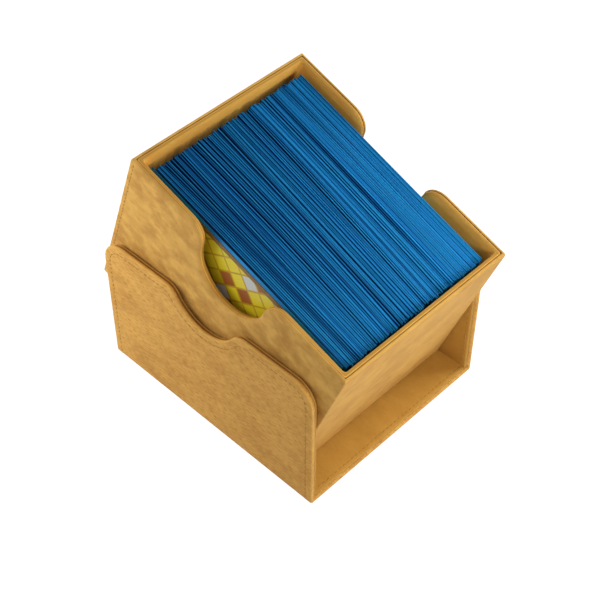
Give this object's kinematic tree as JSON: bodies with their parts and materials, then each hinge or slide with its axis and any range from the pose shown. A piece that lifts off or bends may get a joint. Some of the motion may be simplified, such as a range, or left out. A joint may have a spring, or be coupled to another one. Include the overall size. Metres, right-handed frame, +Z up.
{
  "type": "deck box with drawer",
  "caption": "Leatherette deck box: an open-ended case used as a stand, with an open-topped card drawer that leans forward in it, full of sleeved cards that lie on their long edges.",
  "frame": {"origin": "middle of the case's flat underside", "axes": "+X across from the left side wall to the right one, -Y towards the open front that the drawer leans out of, +Z up"},
  "size_m": [0.087, 0.12, 0.1049],
  "materials": {
    "leatherette": "matte, finely brushed tan leatherette",
    "case_lining": "matte tan leatherette lining",
    "drawer_lining": "soft tan microfibre",
    "greyboard": "raw grey bookbinder's board",
    "magnet": "plated disc magnet",
    "card_sleeve": "matte blue card sleeve",
    "card_face": "printed card in a clear sleeve"
  },
  "bodies": {
    "case": {"case_wrap": "leatherette", "case_floor_board": "greyboard", "case_left_board": "greyboard", "case_right_board": "greyboard", "case_floor_lining": "case_lining", "case_left_lining": "case_lining", "case_right_lining": "case_lining", "case_left_magnets": "magnet", "case_right_magnets": "magnet"},
    "drawer": {"drawer_wrap": "leatherette", "drawer_floor_board": "greyboard", "drawer_front_board": "greyboard", "drawer_rear_board": "greyboard", "drawer_left_board": "greyboard", "drawer_right_board": "greyboard", "drawer_floor_lining": "drawer_lining", "drawer_front_lining": "drawer_lining", "drawer_rear_lining": "drawer_lining", "drawer_left_lining": "drawer_lining", "drawer_right_lining": "drawer_lining", "drawer_left_magnets": "magnet", "drawer_right_magnets": "magnet"},
    "deck": {"sleeved_cards": "card_sleeve"},
    "front_card": {"front_card": "card_face"}
  },
  "joints": [
    {"name": "drawer_lift", "type": "slide", "parent": "case", "child": "drawer", "axis": [0, 0, 1], "range_m": [0, 0.065]},
    {"name": "deck_lift", "type": "slide", "parent": "drawer", "child": "deck", "axis": [0, -0.3305, 0.9438], "range_m": [0, 0.072]},
    {"name": "front_card_lift", "type": "slide", "parent": "drawer", "child": "front_card", "axis": [0, -0.3305, 0.9438], "range_m": [0, 0.072]}
  ]
}
